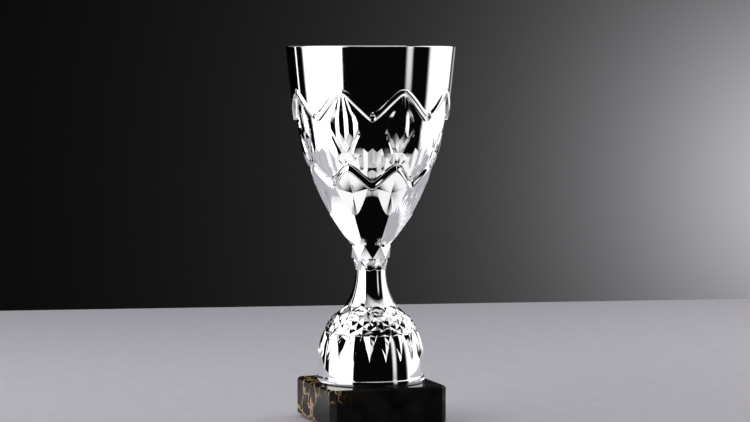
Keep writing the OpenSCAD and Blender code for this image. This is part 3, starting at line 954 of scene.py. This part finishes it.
# The fan of three flutes under each peak, spreading from the peak, and the facets between their points.
middle_valley = from_peak((0, 39.9, -1.75), (0, 44, -2.15), (0, 50, VALLEY), (0, 56.5, -2.1), (0, 61.0, -1.5))
fan_ridge = from_peak((2.6, 40.9, PANEL), (3.5, 45, PANEL), (3.75, 50, PANEL), (3.75, 56, PANEL))
fan_valley = from_peak((4.9, 42, -1.75), (6.8, 46, -2.1), (7.5, 51, VALLEY), (7.5, 56, -2.1),
                       (7.5, 59.8, -1.65))
fan_edge = from_peak((7.0, 42.1, PANEL), (9.7, 45.4, PANEL), (11.25, 49.5, PANEL), (11.25, 53.4, PANEL))
beside_fan = from_peak((10.4, 57.8, -1.6), (8.6, 62.2, -1.75), (6.0, 66.6, -1.85))
shield_side = from_peak((13.2, 57.0, -1.25), (10.4, 61.6, -1.1), (8.2, 65.6, -0.9), (6.8, 69.6, -0.7),
                        (7.3, 71.8, -0.6))
waist, waist_middle = from_peak((4.4, 69.5, -1.9), (0, 69.5, -2.05))
bowl_creases += [
    [under_rib(0), *middle_valley, waist_middle],
    [under_rib(1), *fan_ridge],
    [under_rib(2), *fan_valley],
    [under_rib(3), *fan_edge],
    [fan_ridge[-1], middle_valley[-1]],
    [fan_ridge[-1], fan_valley[-1], fan_edge[-1], shield_side[0]],
    [fan_ridge[-1], *from_peak((2.9, 66.2, -1.55)), waist_middle],
    [fan_valley[-1], *from_peak((4.4, 66.2, -2.0)), waist_middle],
    [fan_edge[-1], *beside_fan, waist],
    shield_side,
    [waist, waist_middle],
]

# The groove's section: two thin beads with a hollow between them, as (millimetres from its middle, relief).
GROOVE_Y = 84.9
GROOVE_SWING = 5.7
GROOVE_R = 41
GROOVE_SECTION = [
    (-2.75, -1.75), (-2.5, -1.25), (-2.2, -1.12), (-1.85, -1.4), (-1.6, -2.1), (-1.2, -2.2), (-0.1, -1.75),
    (0.8, -0.95), (1.2, -0.6), (1.6, -0.48), (2.1, -0.68), (2.5, -0.55), (3.0, -0.6),
]


def groove_y(x, across):
    """Depth of a line that runs along the lower groove at x, across millimetres from its middle."""
    return GROOVE_Y + GROOVE_SWING * zigzag(x) + across * (0.35 + 0.65 * steepness(x, GROOVE_SWING, GROOVE_R))


bowl_curves += [
    [(STEP * i, groove_y(STEP * i, across), height) for i in range(BOWL_COLUMNS + 1)]
    for across, height in GROOVE_SECTION
]

# The crown of pointed flutes over each low point of the groove. It stands at the foot of the shield, the
# plain field between two fans, which swells a little over each of the crown's points and notches.
point, outer_point, notch = (0, 66.0, -0.5), (7.5, 66.0, -0.5), (3.75, 68.5, -0.3)
point_foot, outer_foot, notch_foot = (0, 79.1, -1.25), (7.5, 80.0, -1.5), (3.75, 78.6, -1.0)
shield_foot, crown_side = (11.6, 72.0, -0.45), (11.4, 76.6, -0.95)
bowl_curves += [
    [(0, 51, -1.32), (0, 56, -1.3), (0, 61, -0.95), point],
    [(7.5, 53, -1.32), (7.5, 57, -1.2), (7.5, 61.5, -0.9), outer_point],
    [(3.75, 54, -1.33), (3.75, 58, -1.15), (3.75, 63, -0.8), notch],
]
bowl_creases += [
    [shield_side[-1], shield_foot, (9.4, 69.8, -0.4), outer_point, notch, point],
    [outer_point, (7.5, 70.5, -1.0), (7.5, 75, -1.35), outer_foot],
    [point, (0, 70.5, -0.9), (0, 75, -1.15), point_foot],
    [notch, (3.75, 74, -0.65), notch_foot],
    [shield_foot, crown_side, outer_foot],
    [outer_foot, notch_foot, point_foot],
    [shield_side[-1], (15.0, 75.4, -1.5), crown_side],
    [waist_middle, *from_peak((0, 75.2, -2.15))],
    [waist, *from_peak((7.0, 74.6, -1.9))],
]

# The shallow oval thumb cut between the crown's foot and the groove.
THUMB_Y = 83.4
THUMB_UP = 3.7
THUMB_DOWN = 3.4
THUMB_W = 4.6
THUMB_BED = 0.45


def thumb(scale, relief):
    """Half of an oval round the thumb cut's middle."""
    return [
        (THUMB_W * scale * math.sin(math.radians(t)),
         THUMB_Y - (THUMB_UP if t < 90 else THUMB_DOWN) * scale * math.cos(math.radians(t)), relief)
        for t in range(0, 181, 20)
    ]


bowl_curves += [
    thumb(1.0, -1.3), thumb(0.9, -1.42), thumb(0.7, -1.46), thumb(THUMB_BED, -1.49),
    [(0, THUMB_Y - THUMB_UP * THUMB_BED, -1.49), (0, THUMB_Y, -1.5),
     (0, THUMB_Y + THUMB_DOWN * THUMB_BED, -1.49)],
]

# The leaf that hangs under each of the groove's peaks is hollow, and its creases meet at its deepest point.
LEAF_DEPTH = -2.3
LEAF_TIP_Y = 109.4


def under_groove(steps):
    """The groove's lower edge, a number of columns from the peak."""
    x, (across, relief) = BOWL_HALF - STEP * steps, GROOVE_SECTION[-1]
    return (x, groove_y(x, across), relief)


# Below the leaves the flats run down to the bowl's seat, with a ridge between each two.
FLAT_DEPTH = -0.5
FLAT_RUN_OUT = 4.2


def on_flat(x, y):
    """A point of the flat facet that is centred on x = 0."""
    rise = float(bowl_side.at(y)) * (1 / math.cos(math.radians(x)) - 1)
    return (x, y, (FLAT_DEPTH + rise) * min(1, (BOWL_H - y) / FLAT_RUN_OUT))


leaf_node = (BOWL_HALF, 96.5, LEAF_DEPTH)
leaf_side = under_groove(16)
leaf_foot = on_flat(18.6, 108.8)
leaf_edge = [
    on_flat(7.5, 98.5), on_flat(11.2, 103.2), on_flat(15.2, 106.8), leaf_foot, on_flat(BOWL_HALF, LEAF_TIP_Y)
]
flat_rows = (113, 117, 121, 125, 128.5)
bowl_creases += [
    [under_groove(0), leaf_node],
    [leaf_side, leaf_node],
    [leaf_node, leaf_foot],
    [leaf_side, *leaf_edge],
    [on_flat(BOWL_HALF, y) for y in (LEAF_TIP_Y, *flat_rows)],
]
bowl_curves += [
    [on_flat(x, y) for y in (top, *flat_rows)]
    for x, top, _ in [on_flat(0, 97.5), on_flat(3.75, 101), *leaf_edge[:4]]
]
bowl_skin = wrapped(
    drawn("bowl_skin", bowl_creases, bowl_curves, BOWL_HALF, MM_PER_DEGREE, spacing=1.0,
          top=(LIP_R, 0), foot=(BOWL_H, 0), columns=BOWL_COLUMNS),
    bowl_side, BOWL_HALF, BOWL_REPEATS, BOWL_TURN,
)

# The lip, the hollow's wall and rounded floor, the stud's hole and the seat are turned in one piece.
lip_r = float(bowl_side.at(LIP_R)) - LIP_R
wall_depths = [4, 10, 18, 26, 34, 42, 50, 58, 66, 74, 82, 90, 97, 103, 109, 114, 118]
floor_z = rim_z - BOWL_H + BOWL_FLOOR
bowl_core = turned(
    "bowl_core",
    arc((lip_r, rim_z - LIP_R), LIP_R, 0, 180, 10)
    + [(float(bowl_side.at(d)) - RIM_WALL - (BOWL_WALL - RIM_WALL) * min(1, d / FULL_WALL_Y), rim_z - d)
       for d in wall_depths]
    + [(14.4, floor_z + 4.6), (12.6, floor_z + 2.2), (11.4, floor_z + 0.9), (10, floor_z),
       (STUD_BORE_R, floor_z), (STUD_BORE_R, floor_z - BOWL_FLOOR), (SEAT_R, floor_z - BOWL_FLOOR)],
    16 * BOWL_COLUMNS, BOWL_TURN,
)
bowl = one_skin("bowl_shell", [bowl_core, bowl_skin])
smooth(bowl, CUT_ANGLE)
bowl.data.materials.append(bright_silver)
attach(bowl, "root")
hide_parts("bowl")


# ---- bowl washer and nut ----
# Inside the bowl a washer spreads the load over its thin floor, and the upper nut draws
# the bowl, the collar and the foot down on the plinth. Zinc-plated steel, as below.
washer("bowl_washer")
hex_nut("bowl_nut")


# ---- table, light and camera ----
# A pale table that ends close in front of the trophy, and a dark wall far behind it. Tall softboxes stand
# beside the trophy, softer cards hang above and below its front, and the camera is level with the rim.
AWAY = math.radians(18.3)
towards_camera = Vector((-math.sin(AWAY), -math.cos(AWAY), 0))
to_the_right = Vector((math.cos(AWAY), -math.sin(AWAY), 0))


def pale_top():
    """Matt pale lacquer on the table."""
    material, tree, shader = new_material("pale_top", Roughness=0.6)
    grain = noise(tree, (-450, 0), object_place(tree, (-700, 0)), Scale=60.0, Detail=4.0)
    colour = ramp(tree, (-200, 0), grain, [(0.3, (0.64, 0.62, 0.68)), (0.7, (0.68, 0.66, 0.72))])
    tree.links.new(colour, shader.inputs["Base Color"])
    return material


TABLE_TURN = math.radians(9.5)
TABLE_FRONT = 0.0475
TABLE_BACK = 0.74
TABLE_W = 1.04
TABLE_T = 0.025
TABLE_EDGE = 0.0015
table_middle = Vector((math.sin(TABLE_TURN), math.cos(TABLE_TURN), 0)) * (TABLE_BACK - TABLE_FRONT) / 2
table_middle.z = -TABLE_T / 2
table = block("table", table_middle, (TABLE_W, TABLE_FRONT + TABLE_BACK, TABLE_T), (0, 0, -TABLE_TURN))
soften_edges(table, TABLE_EDGE, 3)
smooth(table, 30)
table.data.materials.append(pale_top())


WALL_AWAY = 2.4
WALL_W = 5.2
WALL_H = 3.2
WALL_MIDDLE = Vector((0, 0, 0.6))
clear_selection()
bpy.ops.mesh.primitive_plane_add(
    size=1, location=WALL_MIDDLE - towards_camera * WALL_AWAY, rotation=(math.radians(90), 0, -AWAY)
)
bpy.context.object.scale = (WALL_W, WALL_H, 1)
wall = named("dark_wall")
wall_paint, _, _ = new_material(
    "dark_wall", Base_Color=(0.005, 0.005, 0.0052, 1), Roughness=0.9, Specular_IOR_Level=0
)
wall.data.materials.append(wall_paint)


TROPHY_MIDDLE = Vector((0, 0, 0.15))


def softbox(name, azimuth, elevation, distance, width, height, brightness, left=0.0, right=0.0, ends=0.0):
    """A soft lamp that faces the middle of the trophy. Azimuth is how far round it stands to the right of the
    camera. Left, right and ends are the shares of its width and height over which it fades out."""
    turn = math.radians(azimuth)
    level = towards_camera * math.cos(turn) + to_the_right * math.sin(turn)
    direction = level * math.cos(math.radians(elevation)) + Vector((0, 0, math.sin(math.radians(elevation))))
    lamp = bpy.data.lights.new(name, "AREA")
    lamp.shape = "RECTANGLE"
    lamp.size = width
    lamp.size_y = height
    lamp.energy = brightness * math.pi * width * height
    lamp.use_nodes = True
    tree = lamp.node_tree
    link = tree.links.new
    place = node(tree, "ShaderNodeNewGeometry", (-900, 0))
    apart = node(tree, "ShaderNodeSeparateXYZ", (-700, 0))
    link(place.outputs["Parametric"], apart.inputs["Vector"])
    strength = None
    for axis, start, end in (("X", 0, left), ("X", 1, 1 - right), ("Y", 0, ends), ("Y", 1, 1 - ends)):
        if start == end:
            continue
        fade = node(tree, "ShaderNodeMapRange", (-450, 0), {"From Min": start, "From Max": end},
                    interpolation_type="SMOOTHSTEP")
        link(apart.outputs[axis], fade.inputs["Value"])
        if strength is None:
            strength = fade.outputs["Result"]
        else:
            strength = maths(tree, (-200, 0), "MULTIPLY", strength, fade.outputs["Result"])
    if strength is not None:
        link(strength, tree.nodes["Emission"].inputs["Strength"])
    holder = placed(name, lamp)
    holder.location = TROPHY_MIDDLE + direction * distance
    holder.rotation_euler = (-direction).to_track_quat("-Z", "Y").to_euler()
    holder.visible_camera = False
    return holder


softbox("left_softbox", -72, 12, 1.1, 1.6, 2.2, 1.7, left=0.12, right=0.05, ends=0.2)
softbox("right_softbox", 115, 17, 1.1, 1.45, 2.2, 1.2, left=0.15, right=0.1, ends=0.2)
softbox("left_edge_strip", -121, 10, 1.1, 0.07, 1.4, 1.3)
softbox("back_left_card", -142, 32, 1.3, 1.0, 0.9, 0.25, left=0.2, right=0.2, ends=0.2)
softbox("floor_softbox", -158, 62, 1.4, 1.2, 1.0, 2.0, ends=0.3)
softbox("front_top_card", 28, 60, 1.2, 2.6, 0.8, 0.8, left=0.5, right=0.2, ends=0.25)
softbox("right_fill", 54, 8, 1.1, 0.26, 1.1, 0.9, left=0.4, right=0.4, ends=0.35)
softbox("low_card", 6, -41, 0.8, 0.9, 0.38, 0.6, left=0.5, right=0.5, ends=0.3)
softbox("low_left_card", -50, -41, 0.8, 1.0, 0.56, 1.0, left=0.3, right=0.3, ends=0.22)
softbox("low_right_card", 62, -41, 0.8, 0.96, 0.56, 0.95, left=0.4, right=0.1, ends=0.22)

# Two square reflectors and a narrow streak that runs outwards lie just over the table and face up.
OVER_TABLE = 0.004
STREAK_AZIMUTH = 107
for name, azimuth, distance, width, length, brightness, ends, turn in (
    ("left_reflector", -100, 0.14, 0.16, 0.16, 0.78, 0.35, 0),
    ("right_reflector", 143, 0.2, 0.16, 0.16, 0.78, 0.35, 0),
    ("right_streak", STREAK_AZIMUTH, 0.2, 0.014, 0.26, 0.95, 0.2, math.radians(STREAK_AZIMUTH) - AWAY),
):
    lamp = softbox(name, azimuth, 0, distance, width, length, brightness, left=0.35, right=0.35, ends=ends)
    lamp.location.z = OVER_TABLE
    lamp.rotation_euler = (math.pi, 0, turn)

# A small lamp close to the wall, low at the right, lights it from there.
WALL_GLOW = 611
glow = softbox("wall_glow", 0, 0, 1.0, 0.3, 0.3, WALL_GLOW)
glow.location = towards_camera * (0.36 - WALL_AWAY) + to_the_right * 0.76 + Vector((0, 0, 0.03))
glow.rotation_euler = (-towards_camera).to_track_quat("-Z", "Y").to_euler()

world = bpy.data.worlds.new("dim_room")
bpy.context.scene.world = world
world.use_nodes = True
world.node_tree.nodes["Background"].inputs["Color"].default_value = (0.002, 0.002, 0.0024, 1)

CAMERA_DISTANCE = 1.66
LENS = 120.7
AXIS_SHIFT_DEG = -0.1
PITCH_DEG = 3.76
camera = placed("camera", bpy.data.cameras.new("camera"))
camera.data.lens = LENS
camera.matrix_world = (
    Matrix.Translation(towards_camera * CAMERA_DISTANCE + Vector((0, 0, rim_z * MM)))
    @ Matrix.Rotation(math.radians(AXIS_SHIFT_DEG) - AWAY, 4, "Z")
    @ Matrix.Rotation(math.radians(90 - PITCH_DEG), 4, "X")
)
bpy.context.scene.camera = camera
bpy.context.scene.view_settings.view_transform = "Standard"
